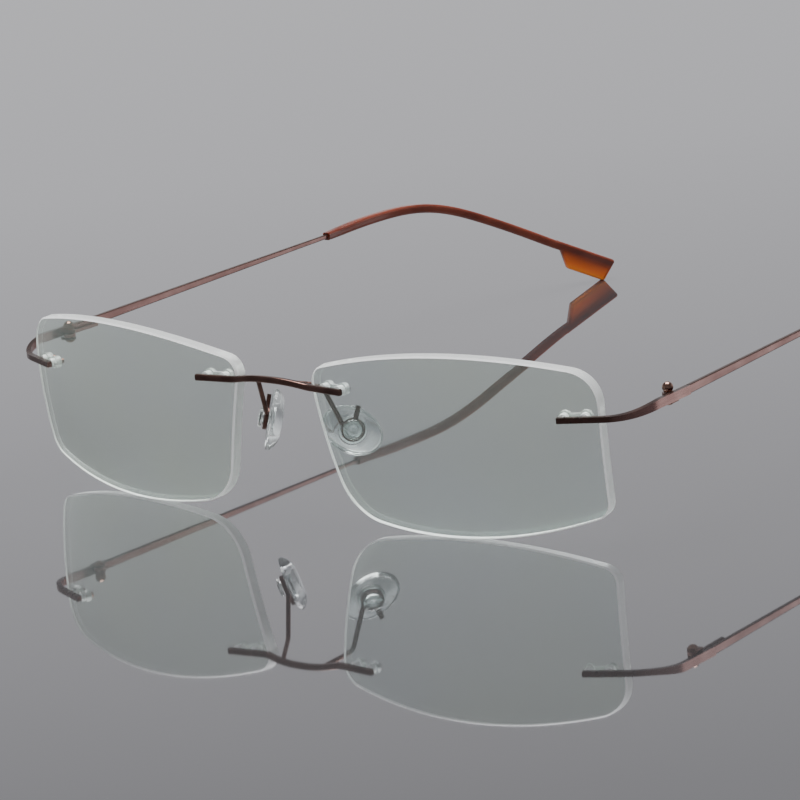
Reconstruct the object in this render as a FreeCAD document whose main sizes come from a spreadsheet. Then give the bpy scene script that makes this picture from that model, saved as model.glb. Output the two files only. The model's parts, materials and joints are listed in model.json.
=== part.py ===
import FreeCAD, Part
import math
import os
import Sketcher

# Rimless spectacles, in millimetres. +X is the wearer's left, +Y runs back along the temples and +Z is up.
# The pair rests open on z = 0, on the lower edges of the lenses and on the ends of the temple tips.
# Heights and depths are measured from that rest plane and from the front of the lenses.
# Pieces of the wearer's left side are modelled, and those of the right side are their mirror images.

doc = FreeCAD.newDocument("rimless_glasses")
Vector = FreeCAD.Vector
Rotation = FreeCAD.Rotation
Placement = FreeCAD.Placement
X_AXIS, Y_AXIS, Z_AXIS = Vector(1, 0, 0), Vector(0, 1, 0), Vector(0, 0, 1)

# Driving dimensions
DIMENSIONS = {
    # where the front of the lenses stands, so that the origin is under the middle of the whole pair
    "front_setback": 74.967,
    # lenses
    "lens_width": 54.0,
    "lens_height": 31.2,
    "lens_gap": 17.2,
    "lens_curve_radius": 88.0,
    "lens_thickness": 2.0,
    "lens_wrap": 8.3,
    "lens_tilt": 3.3,
    "lens_lift": 15.363,
    "top_edge_radius": 96.0,
    "bottom_edge_radius": 90.0,
    "nasal_edge_radius": 170.0,
    "temporal_edge_radius": 260.0,
    "nasal_top_corner": 3.4,
    "temporal_top_corner": 6.0,
    "temporal_bottom_corner": 3.2,
    "nasal_bottom_corner": 9.5,
    "lens_bevel": 0.25,
    # compression mounts: two posts and one double bushing in two holes
    "post_spacing": 3.5,
    "post_radius": 0.42,
    "post_length": 3.55,
    "hole_radius": 0.78,
    "sleeve_radius": 0.76,
    "sleeve_bore": 0.44,
    "sleeve_head_radius": 1.05,
    "sleeve_head_length": 0.9,
    "sleeve_bar_height": 1.1,
    "sleeve_bar_thickness": 0.6,
    "bar_stand_off": 0.12,
    "solder_gap": 0.05,
    "nasal_mount_height": 23.75,
    "nasal_mount_inset": 4.3,
    "temporal_mount_height": 21.0,
    "temporal_mount_inset": 4.2,
    # bridge
    "bridge_bar_height": 1.1,
    "bridge_bar_depth": 1.0,
    "bridge_bar_overlap": 3.1,
    "bridge_rise": 0.83,
    "bridge_shoulder": 4.3,
    "bridge_forward": 0.7,
    "bridge_kink_radius": 6.0,
    "bridge_arch_radius": 24.0,
    "bar_corner": 0.28,
    "bar_kink_gap": 0.5,
    # end pieces
    "endpiece_bar_height": 0.95,
    "endpiece_bar_depth": 0.9,
    "endpiece_bar_overlap": 2.6,
    "endpiece_bend_radius": 8.6,
    "strip_height": 1.5,
    "strip_thickness": 0.85,
    "strip_middle_height": 22.0,
    "butt_depth": 24.3,
    "butt_gap": 0.05,
    # hinge
    "hinge_depth": 21.1,
    "hinge_inset": 1.75,
    "hinge_drop": 0.5,
    "barrel_radius": 1.0,
    "barrel_height": 1.6,
    "middle_knuckle_height": 0.6,
    "knuckle_gap": 0.05,
    "pin_radius": 0.45,
    "pin_clearance": 0.03,
    "ball_radius": 0.93,
    "ball_flat": 0.12,
    "dome_height": 0.6,
    "leaf_thickness": 0.5,
    "leaf_length": 7.6,
    # temples
    "temple_toe_in": 1.7,
    "left_rest_fold": 3.3,
    "core_size": 0.75,
    "strip_corner": 0.2,
    "station_spacing": 7.0,
    # temple tips
    "tip_width": 1.9,
    "tip_height": 1.65,
    "blade_length": 12.4,
    "blade_depth": 4.45,
    "blade_drop": 27.5,
    "blade_turn": 33.3,
    "blade_edge_radius": 0.5,
    "blade_set_on": 2.4,
    "sleeve_corner": 0.5,
    # nose pads
    "ring_radius": 1.95,
    "ring_bore": 1.25,
    "ring_thickness": 0.7,
    "tongue_width": 0.8,
    "tongue_length": 2.1,
    "arm_radius": 0.4,
    "arm_meets_ring": 17.0,
    "arm_bend_radius": 1.6,
    "stud_radius": 1.0,
    "stud_head_radius": 1.7,
    "stud_head_thickness": 0.55,
    "stud_play": 0.3,
    "stud_plate_radius": 2.3,
    "stud_plate_thickness": 0.6,
    "pad_length": 10.5,
    "pad_width": 7.6,
    "pad_thickness": 2.2,
    "pad_lean": 20.0,
    "pad_left_turn": -74.0,
    "pad_clearance": 0.05,
    "pad_edge_radius": 1.0,
}

sheet = doc.addObject("Spreadsheet::Sheet", "dims")
for row, (alias, number) in enumerate(DIMENSIONS.items(), start=1):
    sheet.set("A%d" % row, alias.replace("_", " "))
    sheet.set("B%d" % row, str(number))
    sheet.setAlias("B%d" % row, alias)
doc.recompute()


class Size:
    """A length or angle with its number and the spreadsheet expression that gives it."""

    def __init__(self, value, text):
        self.value, self.text = value, text

    def joined(self, other, sign, value):
        other_text = other.text if isinstance(other, Size) else repr(other)
        return Size(value, "(%s %s %s)" % (self.text, sign, other_text))

    def __add__(self, other):
        return self.joined(other, "+", self.value + number(other))

    def __sub__(self, other):
        return self.joined(other, "-", self.value - number(other))

    def __mul__(self, other):
        return self.joined(other, "*", self.value * number(other))

    def __truediv__(self, other):
        return self.joined(other, "/", self.value / number(other))


def number(size):
    return size.value if isinstance(size, Size) else size


def dim(alias):
    return Size(float(sheet.get(alias)), "dims." + alias)


def val(alias):
    return float(sheet.get(alias))


def bind(item, prop, size):
    """Give a property its number now and its expression for every later recompute."""
    setattr(item, prop, number(size))
    item.setExpression(prop, size.text)


# Sketches and bodies

def new_body(label):
    body = doc.addObject("PartDesign::Body", label)
    body.Label = label
    return body


def new_sketch(body, role="XY_Plane", lift=None):
    """A sketch on one of the body's origin planes, raised along its normal by lift."""
    sketch = body.newObject("Sketcher::SketchObject", "Sketch")
    plane = [item for item in body.Origin.OriginFeatures if item.Role == role][0]
    sketch.AttachmentSupport = [(plane, "")]
    sketch.MapMode = "FlatFace"
    if lift is not None:
        sketch.AttachmentOffset = Placement(Vector(0, 0, number(lift)), Rotation())
        sketch.setExpression("AttachmentOffset.Base.z", lift.text)
    return sketch


def set_coordinate(sketch, kind, curve, end, size, sign):
    """Hold one coordinate of a curve's end at sign times size from the sketch's origin."""
    ends = (-1, 1, curve, end) if sign > 0 else (curve, end, -1, 1)
    index = sketch.addConstraint(Sketcher.Constraint(kind, *ends, number(size)))
    if isinstance(size, Size):
        sketch.setExpression("Constraints[%d]" % index, size.text)


def draw_circle(sketch, radius, x=None, x_sign=1):
    """A circle on the sketch's X axis, at the origin when x is left out."""
    centre = Vector(number(x) * x_sign if x else 0, 0, 0)
    curve = sketch.addGeometry(Part.Circle(centre, Z_AXIS, number(radius)))
    index = sketch.addConstraint(Sketcher.Constraint("Radius", curve, number(radius)))
    sketch.setExpression("Constraints[%d]" % index, radius.text)
    if x:
        set_coordinate(sketch, "DistanceX", curve, 3, x, x_sign)
        sketch.addConstraint(Sketcher.Constraint("PointOnObject", curve, 3, -1))
    else:
        sketch.addConstraint(Sketcher.Constraint("Coincident", curve, 3, -1, 1))


def draw_polygon(sketch, corners):
    """A closed polygon whose corners are ((x sign, x size), (y sign, y size)), with 0 for on an axis."""
    points = [Vector(sx * number(x), sy * number(y), 0) for (sx, x), (sy, y) in corners]
    count = len(points)
    lines = [sketch.addGeometry(Part.LineSegment(points[i], points[(i + 1) % count])) for i in range(count)]
    for i in range(count):
        sketch.addConstraint(Sketcher.Constraint("Coincident", lines[i - 1], 2, lines[i], 1))
    for line, ((x_sign, x), (y_sign, y)) in zip(lines, corners):
        if x_sign:
            set_coordinate(sketch, "DistanceX", line, 1, x, x_sign)
        else:
            sketch.addConstraint(Sketcher.Constraint("PointOnObject", line, 1, -2))
        if y_sign:
            set_coordinate(sketch, "DistanceY", line, 1, y, y_sign)
        else:
            sketch.addConstraint(Sketcher.Constraint("PointOnObject", line, 1, -1))


def draw_rectangle(sketch, left, right, low, high):
    """A rectangle between signed sizes: each side is (sign, size)."""
    draw_polygon(sketch, [(left, low), (right, low), (right, high), (left, high)])


ON_AXIS = (0, 0.0)


def pad(body, sketch, length, midplane=False, reverse=False):
    feature = body.newObject("PartDesign::Pad", "Pad")
    feature.Profile = sketch
    bind(feature, "Length", length)
    feature.Midplane = midplane
    feature.Reversed = reverse
    sketch.Visibility = False
    doc.recompute()
    return feature


def cut_through(body, sketch):
    """A pocket through the whole body, both ways."""
    before = body.Shape.Volume
    feature = body.newObject("PartDesign::Pocket", "Pocket")
    feature.Profile = sketch
    feature.Type = 1
    feature.Midplane = True
    sketch.Visibility = False
    doc.recompute()
    if body.Shape.Volume >= before:
        raise RuntimeError("the pocket cut nothing from " + body.Label)
    return feature


def turned(body, sketch):
    """A full turn of a profile about its sketch's upright axis."""
    feature = body.newObject("PartDesign::Revolution", "Turn")
    feature.Profile = sketch
    feature.ReferenceAxis = (sketch, ["V_Axis"])
    feature.Angle = 360
    sketch.Visibility = False
    doc.recompute()
    return feature


def rounded_edges(body, base, chosen, radius):
    """Round the edges of a body's last feature that the test picks."""
    names = ["Edge%d" % (i + 1) for i, edge in enumerate(base.Shape.Edges) if chosen(edge)]
    feature = body.newObject("PartDesign::Fillet", "Edges")
    feature.Base = (base, names)
    bind(feature, "Radius", radius)
    doc.recompute()
    return feature


# Sub-parts and their names

SUBPARTS = []


def keep(item, label, placement=None):
    """Name a finished piece, place it and list it for writing out."""
    item.Label = label
    if placement is not None:
        item.Placement = placement
    SUBPARTS.append(item)
    return item


def keep_twin(item, name):
    """Keep a piece's mirror image as the one on the wearer's right."""
    twin = doc.addObject("Part::Mirroring", name + "_twin")
    twin.Source = item
    twin.Normal = X_AXIS
    twin.Base = Vector(0, 0, 0)
    keep(twin, name + "_right")


def keep_pair(item, name, placement=None):
    """Keep a piece of the left side and add its mirror image on the right."""
    keep(item, name + "_left", placement)
    keep_twin(item, name)


def keep_arm_pair(item, name, hinge):
    """Keep a piece of the temples: the right one stands open and the left one is folded in a little."""
    keep_twin(item, name)
    folded = doc.addObject("Part::Compound", name + "_folded")
    folded.Links = [item]
    turn = Rotation(Z_AXIS, val("left_rest_fold"))
    keep(folded, name + "_left", Placement(hinge.Base - turn.multVec(hinge.Base), turn))


def at(x, y, z):
    """A point x from the middle, y behind the lens fronts and z above the rest plane."""
    return Vector(x, y - val("front_setback"), z)


def frame_of(origin, x_direction, z_direction):
    """The placement of a piece from its origin, its own X direction and its own Z direction."""
    return Placement(origin, Rotation(x_direction, z_direction.cross(x_direction), z_direction, "ZXY"))


def heading(angle):
    """A level direction, turned by angle from +X towards +Y."""
    return Vector(math.cos(math.radians(angle)), math.sin(math.radians(angle)), 0)


# Lens

lens_centre = at((val("lens_gap") + val("lens_width")) / 2, 0, val("lens_lift"))
lens_place = Placement(lens_centre, Rotation(Z_AXIS, val("lens_wrap"))
                       * Rotation(X_AXIS, 90 + val("lens_tilt")))
half_width = val("lens_width") / 2
half_height = val("lens_height") / 2


def surface_frame(x, y):
    """A mount's frame on the front of the lens: X along the bar, outwards, and Z out of the front."""
    radius = val("lens_curve_radius")
    out = Vector(x, y, math.sqrt(radius ** 2 - x ** 2 - y ** 2))
    normal = lens_place.Rotation.multVec(out / radius)
    along = Vector(-normal.y, normal.x, 0).normalize()
    return frame_of(lens_place.multVec(out - Vector(0, 0, radius)), along, normal)


def outline_height(height):
    """The place up the lens's outline of a point at a height above the rest plane."""
    return (height - val("lens_lift")) / math.cos(math.radians(val("lens_tilt")))


nasal_mount = surface_frame(val("nasal_mount_inset") - half_width, outline_height(val("nasal_mount_height")))
temporal_mount = surface_frame(half_width - val("temporal_mount_inset"),
                               outline_height(val("temporal_mount_height")))


def draw_lens_outline(sketch):
    """Four shallow arcs between the outline's sharp corners, seen from the front of the left lens."""
    width, height = dim("lens_width"), dim("lens_height")
    corners = [
        ((-1, width * 0.511), (1, height * 0.355)),
        ((-1, width * 0.403), (-1, height * 0.420)),
        ((1, width * 0.491), (-1, height * 0.356)),
        ((1, width * 0.498), (1, height * 0.396)),
    ]
    radii = ["nasal_edge_radius", "bottom_edge_radius", "temporal_edge_radius", "top_edge_radius"]
    points = [Vector(sx * x.value, sy * y.value, 0) for (sx, x), (sy, y) in corners]
    arcs = []
    for i, alias in enumerate(radii):
        start, end = points[i], points[(i + 1) % 4]
        half_chord = (end - start) / 2
        rise = math.sqrt(val(alias) ** 2 - half_chord.Length ** 2)
        inward = Vector(-half_chord.y, half_chord.x, 0).normalize()
        centre = start + half_chord + inward * rise
        angles = [math.atan2(p.y - centre.y, p.x - centre.x) for p in (start, end)]
        circle = Part.Circle(centre, Z_AXIS, val(alias))
        arcs.append(sketch.addGeometry(Part.ArcOfCircle(circle, angles[0], angles[1])))
    for i, alias in enumerate(radii):
        sketch.addConstraint(Sketcher.Constraint("Coincident", arcs[i - 1], 2, arcs[i], 1))
        index = sketch.addConstraint(Sketcher.Constraint("Radius", arcs[i], val(alias)))
        sketch.setExpression("Constraints[%d]" % index, "dims." + alias)
        (x_sign, x), (y_sign, y) = corners[i]
        set_coordinate(sketch, "DistanceX", arcs[i], 1, x, x_sign)
        set_coordinate(sketch, "DistanceY", arcs[i], 1, y, y_sign)


def curve_tool(name, radius):
    """A ball under the lens's vertex, with its poles well outside the lens."""
    ball = doc.addObject("Part::Sphere", name)
    bind(ball, "Radius", radius)
    ball.Placement = Placement(Vector(0, 0, -val("lens_curve_radius")), Rotation(X_AXIS, 90))
    return ball


def on_one_curve(edge):
    """True for an edge that lies on the lens's front curve or on its back curve."""
    centre = Vector(0, 0, -val("lens_curve_radius"))
    reach = [(vertex.Point - centre).Length for vertex in (edge.firstVertex(), edge.lastVertex())]
    return abs(reach[0] - reach[1]) < 0.01


def build_lens():
    body = new_body("lens_edged")
    outline = new_sketch(body)
    draw_lens_outline(outline)
    blank = pad(body, outline, dim("lens_thickness") * 8, midplane=True)
    corners = [
        ("nasal_top_corner", -1, 1),
        ("nasal_bottom_corner", -1, -1),
        ("temporal_bottom_corner", 1, -1),
        ("temporal_top_corner", 1, 1),
    ]
    for alias, x_sign, y_sign in corners:
        def upright_here(edge):
            middle = edge.CenterOfMass
            level = abs(edge.Vertexes[0].Z - edge.Vertexes[-1].Z) > 1
            return level and len(edge.Vertexes) == 2 and abs(middle.z) < 0.01 \
                and middle.x * x_sign > half_width * 0.7 and middle.y * y_sign > half_height * 0.55
        blank = rounded_edges(body, blank, upright_here, dim(alias))
    curved = doc.addObject("Part::Common", "lens_front_ground")
    curved.Base, curved.Tool = body, curve_tool("lens_front_curve", dim("lens_curve_radius"))
    thin = doc.addObject("Part::Cut", "lens_back_ground")
    thin.Base = curved
    thin.Tool = curve_tool("lens_back_curve", dim("lens_curve_radius") - dim("lens_thickness"))
    doc.recompute()
    edges = [i + 1 for i, edge in enumerate(thin.Shape.Edges) if on_one_curve(edge)]
    bevelled = doc.addObject("Part::Chamfer", "lens_bevelled")
    bevelled.Base = thin
    bevelled.Edges = [(i, val("lens_bevel"), val("lens_bevel")) for i in edges]
    bevelled.Placement = lens_place

    drills = []
    for name, mount in (("nasal", nasal_mount), ("temporal", temporal_mount)):
        for side in (-1, 1):
            drill = doc.addObject("Part::Cylinder", "drill_" + name)
            bind(drill, "Radius", dim("hole_radius"))
            bind(drill, "Height", dim("lens_thickness") * 4)
            shift = Vector(side * val("post_spacing") / 2, 0, -val("lens_thickness") * 2)
            drill.Placement = mount.multiply(Placement(shift, Rotation()))
            drills.append(drill)
    holes = doc.addObject("Part::MultiFuse", "lens_holes")
    holes.Shapes = drills
    lens = doc.addObject("Part::Cut", "lens")
    lens.Base, lens.Tool = bevelled, holes
    doc.recompute()
    keep_pair(lens, "lens")


# Compression mounts

def build_posts(name, mount):
    """Two round posts, soldered to the back of the bar and standing in the bushing's sleeves."""
    posts = []
    for side in (-1, 1):
        post = doc.addObject("Part::Cylinder", "post")
        bind(post, "Radius", dim("post_radius"))
        bind(post, "Height", dim("post_length"))
        post.Placement = Placement(Vector(side * val("post_spacing") / 2, 0, -val("post_length")), Rotation())
        posts.append(post)
    group = doc.addObject("Part::Compound", name)
    group.Links = posts
    top = mount.multVec(Vector(0, 0, val("bar_stand_off") - val("solder_gap")))
    keep_pair(group, name, Placement(top, mount.Rotation))


def build_bushing(name, mount):
    """A clear double bushing: two sleeves through the lens, joined behind it by a bar."""
    body = new_body(name)
    half_spacing = dim("post_spacing") / 2
    back = dim("lens_thickness") + dim("solder_gap")
    sleeves = new_sketch(body)
    for side in (-1, 1):
        draw_circle(sleeves, dim("sleeve_radius"), half_spacing, side)
    pad(body, sleeves, back + dim("sleeve_head_length"), reverse=True)
    bar = new_sketch(body, lift=back * -1)
    draw_rectangle(bar, (-1, half_spacing), (1, half_spacing),
                   (-1, dim("sleeve_bar_height") / 2), (1, dim("sleeve_bar_height") / 2))
    pad(body, bar, dim("sleeve_bar_thickness"), reverse=True)
    for side in (-1, 1):
        head = new_sketch(body, lift=back * -1)
        draw_circle(head, dim("sleeve_head_radius"), half_spacing, side)
        heads = pad(body, head, dim("sleeve_head_length"), reverse=True)
    bores = new_sketch(body)
    for side in (-1, 1):
        draw_circle(bores, dim("sleeve_bore"), half_spacing, side)
    bored = cut_through(body, bores)
    rim_depth = -back.value - val("sleeve_head_length")
    rounded_edges(body, bored, lambda edge: abs(edge.CenterOfMass.z - rim_depth) < 0.01
                  and edge.BoundBox.XLength > val("sleeve_head_radius") * 1.5, dim("sleeve_bar_thickness") / 3)
    keep_pair(body, name, mount)


# Bent wires and bars

def bent_path(points, radii):
    """A wire of straight runs through points, with a tangent arc of the given radius at each bend."""
    edges = []
    start = points[0]
    for before, corner, after, radius in zip(points, points[1:], points[2:], radii):
        come = (corner - before).normalize()
        go = (after - corner).normalize()
        turn = come.getAngle(go)
        trim = radius * math.tan(turn / 2)
        arc_start, arc_end = corner - come * trim, corner + go * trim
        middle_way = (go - come).normalize()
        arc_middle = corner + middle_way * (radius / math.cos(turn / 2) - radius)
        edges.append(Part.LineSegment(start, arc_start).toShape())
        edges.append(Part.Arc(arc_start, arc_middle, arc_end).toShape())
        start = arc_end
    edges.append(Part.LineSegment(start, points[-1]).toShape())
    return Part.Wire(edges)


def bar_section(place, width, height, corner):
    """A rectangle with round corners, width along the placement's X and height along its Y."""
    w, h, c = width / 2, height / 2, corner
    k = c * (1 - math.sqrt(0.5))
    edges = []
    for sx, sy in ((1, 1), (-1, 1), (-1, -1), (1, -1)):
        along_x = Vector(sx * (w - c), sy * h, 0)
        along_y = Vector(sx * w, sy * (h - c), 0)
        middle = Vector(sx * (w - k), sy * (h - k), 0)
        first, last = (along_y, along_x) if sx * sy > 0 else (along_x, along_y)
        edges.append(Part.Arc(first, middle, last).toShape())
        opposite = Vector(-sx * (w - c), sy * h, 0) if sx * sy > 0 else Vector(sx * w, -sy * (h - c), 0)
        edges.append(Part.LineSegment(last, opposite).toShape())
    wire = Part.Wire(edges)
    wire.Placement = place
    return wire


def level_frame(point, direction):
    """A section's frame on a path: X level and across, Y up and Z along the path."""
    across = direction.cross(Z_AXIS).normalize()
    return Placement(point, Rotation(across, across.cross(direction).normalize() * -1, direction, "ZXY"))


def solid_feature(name, shape):
    feature = doc.addObject("Part::Feature", name)
    feature.Shape = shape
    return feature


def swept_bar(path, width, height, corner):
    """A bar of rounded rectangular section along a path, kept upright."""
    first = path.Edges[0]
    direction = first.tangentAt(first.FirstParameter)
    profile = bar_section(level_frame(first.firstVertex().Point, direction), width, height, corner)
    shell = Part.BRepOffsetAPI.MakePipeShell(path)
    shell.setBiNormalMode(Z_AXIS)
    shell.add(profile)
    shell.build()
    shell.makeSolid()
    return shell.shape()


def bar_line(mount, depth):
    """The middle line of a bar on the front of the lens: a point and the way outwards."""
    middle = mount.multVec(Vector(0, 0, val("bar_stand_off") + depth / 2))
    return middle, mount.Rotation.multVec(X_AXIS)


def build_bridge():
    middle, outward = bar_line(nasal_mount, val("bridge_bar_depth"))
    tip = middle + outward * val("bridge_bar_overlap")
    kink = middle - outward * (val("nasal_mount_inset") + val("bar_kink_gap"))
    shoulder = Vector(val("bridge_shoulder"), kink.y - val("bridge_forward"), kink.z + val("bridge_rise"))
    half = [tip, kink, shoulder]
    other_half = [Vector(-point.x, point.y, point.z) for point in reversed(half)]
    radii = [val("bridge_kink_radius"), val("bridge_arch_radius")]
    path = bent_path(half + other_half, radii + radii[::-1])
    shape = swept_bar(path, val("bridge_bar_depth"), val("bridge_bar_height"), val("bar_corner"))
    return keep(solid_feature("bridge", shape), "bridge"), shoulder


# End piece: a bar on the lens that bends back and grows into a flat strip

strip_heading = 90 + val("temple_toe_in")
bar_middle, bar_outward = bar_line(temporal_mount, val("endpiece_bar_depth"))
bar_heading = math.degrees(math.atan2(bar_outward.y, bar_outward.x))


def endpiece_plan():
    """The end piece's middle line seen from above: tip, start and end of its bend, and butt end."""
    tip = bar_middle - bar_outward * val("endpiece_bar_overlap")
    bend_start = bar_middle + bar_outward * (val("temporal_mount_inset") + val("bar_kink_gap"))
    radius = val("endpiece_bend_radius")
    left_of = heading(bar_heading + 90)
    centre = bend_start + left_of * radius
    bend_end = centre - heading(strip_heading + 90) * radius
    butt_y = val("butt_depth") - val("front_setback")
    run = (butt_y - bend_end.y) / heading(strip_heading).y
    return tip, bend_start, centre, bend_end, bend_end + heading(strip_heading) * run


def band_face(tip, bend_start, centre, bend_end, butt, level):
    """The plan of the bent strip, as a face at a level."""
    sides = []
    for offset in (val("strip_thickness") / 2, -val("strip_thickness") / 2):
        across_bar = heading(bar_heading - 90) * offset
        across_strip = heading(strip_heading - 90) * offset
        half_turn = heading((bar_heading + strip_heading) / 2 - 90)
        radius = val("endpiece_bend_radius") + offset
        middle = centre + half_turn * radius
        sides.append([tip + across_bar, bend_start + across_bar, middle, bend_end + across_strip,
                      butt + across_strip])
    flat = [[Vector(p.x, p.y, level) for p in side] for side in sides]
    outer, inner = flat
    edges = [
        Part.LineSegment(outer[0], outer[1]).toShape(),
        Part.Arc(outer[1], outer[2], outer[3]).toShape(),
        Part.LineSegment(outer[3], outer[4]).toShape(),
        Part.LineSegment(outer[4], inner[4]).toShape(),
        Part.LineSegment(inner[4], inner[3]).toShape(),
        Part.Arc(inner[3], inner[2], inner[1]).toShape(),
        Part.LineSegment(inner[1], inner[0]).toShape(),
        Part.LineSegment(inner[0], outer[0]).toShape(),
    ]
    return Part.Face(Part.Wire(edges))


def widening_edge(start, end):
    """A smooth edge, level at both its ends, from one straight edge to the next."""
    level = Vector(0, end.y - start.y, 0).normalize()
    curve = Part.BSplineCurve()
    curve.interpolate([start, (start + end) / 2, end], Tangents=[level, end - start, level],
                      TangentFlags=[True, False, True])
    return curve.toShape()


def build_endpiece():
    tip, bend_start, centre, bend_end, butt = endpiece_plan()
    band = band_face(tip, bend_start, centre, bend_end, butt, val("temporal_mount_height") - 5)
    band = band.extrude(Z_AXIS * 10)
    # the side view, which widens from the bar to the strip
    bar_half, strip_half = val("endpiece_bar_height") / 2, val("strip_height") / 2
    bar_z, strip_z = bar_middle.z, val("strip_middle_height")
    views = [(tip.y - 2, bar_z, bar_half), (bend_start.y, bar_z, bar_half),
             (bend_end.y + 1, strip_z, strip_half), (butt.y + 2, strip_z, strip_half)]
    upper = [Vector(0, y, z + half) for y, z, half in views]
    lower = [Vector(0, y, z - half) for y, z, half in reversed(views)]
    edges = [
        Part.LineSegment(upper[0], upper[1]).toShape(),
        widening_edge(upper[1], upper[2]),
        Part.LineSegment(upper[2], upper[3]).toShape(),
        Part.LineSegment(upper[3], lower[0]).toShape(),
        Part.LineSegment(lower[0], lower[1]).toShape(),
        widening_edge(lower[1], lower[2]),
        Part.LineSegment(lower[2], lower[3]).toShape(),
        Part.LineSegment(lower[3], upper[0]).toShape(),
    ]
    side_view = Part.Face(Part.Wire(edges)).extrude(X_AXIS * 120)
    keep_pair(solid_feature("endpiece", band.common(side_view).Solids[0]), "endpiece")
    return butt


# Hinge: two knuckles on the end piece, one between them on the temple, and a ball-headed screw

def hinge_frame(butt):
    """The hinge's frame: Z up its pin, Y back along the temple and X outwards."""
    back = heading(strip_heading)
    outward = heading(strip_heading - 90)
    setback = (butt.y - (val("hinge_depth") - val("front_setback"))) / back.y
    origin = butt - back * setback - outward * val("hinge_inset")
    origin.z = val("strip_middle_height") - val("hinge_drop")
    return frame_of(origin, outward, Z_AXIS)


def knuckle_body(name, height, low, reach_back, reach_out):
    """A round barrel with a plate that joins it to a strip."""
    body = new_body(name)
    barrel = new_sketch(body, lift=low)
    draw_circle(barrel, dim("barrel_radius"))
    pad(body, barrel, height)
    plate = new_sketch(body, lift=low)
    draw_rectangle(plate, reach_out[0], reach_out[1], reach_back[0], reach_back[1])
    pad(body, plate, height)
    return body


def build_hinge(place, temple):
    inner_face = dim("hinge_inset") - dim("strip_thickness") / 2
    height = dim("barrel_height")
    # end piece side
    block = knuckle_body("hinge_block", height, height * -0.5,
                         ((-1, dim("barrel_radius") * 0.9), (1, dim("barrel_radius") * 0.9)),
                         (ON_AXIS, (1, inner_face)))
    slot = new_sketch(block, "XZ_Plane")
    slot_half = dim("middle_knuckle_height") / 2 + dim("knuckle_gap")
    slot_reach = dim("barrel_radius") * 4
    draw_rectangle(slot, (-1, slot_reach), (1, slot_reach), (-1, slot_half), (1, slot_half))
    cut_through(block, slot)
    bore = new_sketch(block)
    draw_circle(bore, dim("pin_radius") + dim("pin_clearance"))
    cut_through(block, bore)
    keep_pair(block, "hinge_block", place)
    # temple side
    middle_height = dim("middle_knuckle_height")
    leaf_outer = inner_face - 0.1
    leaf = knuckle_body("hinge_leaf", middle_height, middle_height * -0.5,
                        (ON_AXIS, (1, dim("leaf_length"))),
                        ((1, leaf_outer - dim("leaf_thickness")), (1, leaf_outer)))
    foot = new_sketch(leaf, lift=middle_height * -0.5)
    butt_reach = dim("butt_depth") - dim("hinge_depth") + 0.5
    draw_rectangle(foot, (1, leaf_outer - dim("leaf_thickness")), (1, inner_face),
                   (1, butt_reach), (1, dim("leaf_length")))
    pad(leaf, foot, middle_height)
    bore = new_sketch(leaf)
    draw_circle(bore, dim("pin_radius") + dim("pin_clearance"))
    cut_through(leaf, bore)
    leaf.Placement = place
    brazed_leaf = doc.addObject("Part::Cut", "hinge_leaf_brazed")
    brazed_leaf.Base, brazed_leaf.Tool = leaf, temple
    doc.recompute()
    keep_arm_pair(brazed_leaf, "hinge_leaf", place)
    # ball-headed screw
    screw = new_body("hinge_screw")
    shank = new_sketch(screw, lift=height * -0.5)
    draw_circle(shank, dim("pin_radius"))
    pad(screw, shank, height)
    ball = doc.addObject("Part::Sphere", "screw_ball")
    bind(ball, "Radius", dim("ball_radius"))
    ball_height = height.value / 2 + val("ball_radius") - val("ball_flat")
    ball.Placement = Placement(Vector(0, 0, ball_height), Rotation())
    seat = doc.addObject("Part::Cylinder", "screw_seat")
    bind(seat, "Radius", dim("ball_radius") * 0.72)
    bind(seat, "Height", dim("ball_radius"))
    seat.Placement = Placement(Vector(0, 0, height.value / 2), Rotation())
    head_room = doc.addObject("Part::Cylinder", "head_room")
    bind(head_room, "Radius", dim("ball_radius") * 2)
    bind(head_room, "Height", dim("ball_radius") * 3)
    head_room.Placement = Placement(Vector(0, 0, height.value / 2), Rotation())
    head = doc.addObject("Part::Common", "screw_head")
    head.Base, head.Tool = ball, head_room
    whole = doc.addObject("Part::MultiFuse", "screw_whole")
    whole.Shapes = [screw, head, seat]
    doc.recompute()
    keep_pair(whole, "hinge_screw", place)
    # dome nut below
    nut = new_body("hinge_nut")
    profile = new_sketch(nut, "XZ_Plane")
    base = height.value / 2
    radius, dome = val("barrel_radius") * 0.92, val("dome_height")
    cap_radius = (radius ** 2 + dome ** 2) / (2 * dome)
    cap_centre = Vector(0, -base - dome + cap_radius, 0)
    edge_angle = math.atan2(-base - cap_centre.y, radius)
    arc = profile.addGeometry(Part.ArcOfCircle(Part.Circle(cap_centre, Z_AXIS, cap_radius),
                                               -math.pi / 2, edge_angle))
    top_line = profile.addGeometry(Part.LineSegment(Vector(radius, -base, 0), Vector(0, -base, 0)))
    axis_line = profile.addGeometry(Part.LineSegment(Vector(0, -base, 0), Vector(0, -base - dome, 0)))
    for joint in ((arc, 2, top_line, 1), (top_line, 2, axis_line, 1), (axis_line, 2, arc, 1)):
        profile.addConstraint(Sketcher.Constraint("Coincident", *joint))
    profile.addConstraint(Sketcher.Constraint("Horizontal", top_line))
    profile.addConstraint(Sketcher.Constraint("PointOnObject", axis_line, 1, -2))
    profile.addConstraint(Sketcher.Constraint("PointOnObject", axis_line, 2, -2))
    profile.addConstraint(Sketcher.Constraint("PointOnObject", arc, 3, -2))
    set_coordinate(profile, "DistanceX", arc, 2, dim("barrel_radius") * 0.92, 1)
    set_coordinate(profile, "DistanceY", arc, 2, height * 0.5, -1)
    set_coordinate(profile, "DistanceY", arc, 1, height * 0.5 + dim("dome_height"), -1)
    turned(nut, profile)
    keep_pair(nut, "hinge_nut", place)


# Temple: a flat strip that narrows to a core inside the tip

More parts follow.
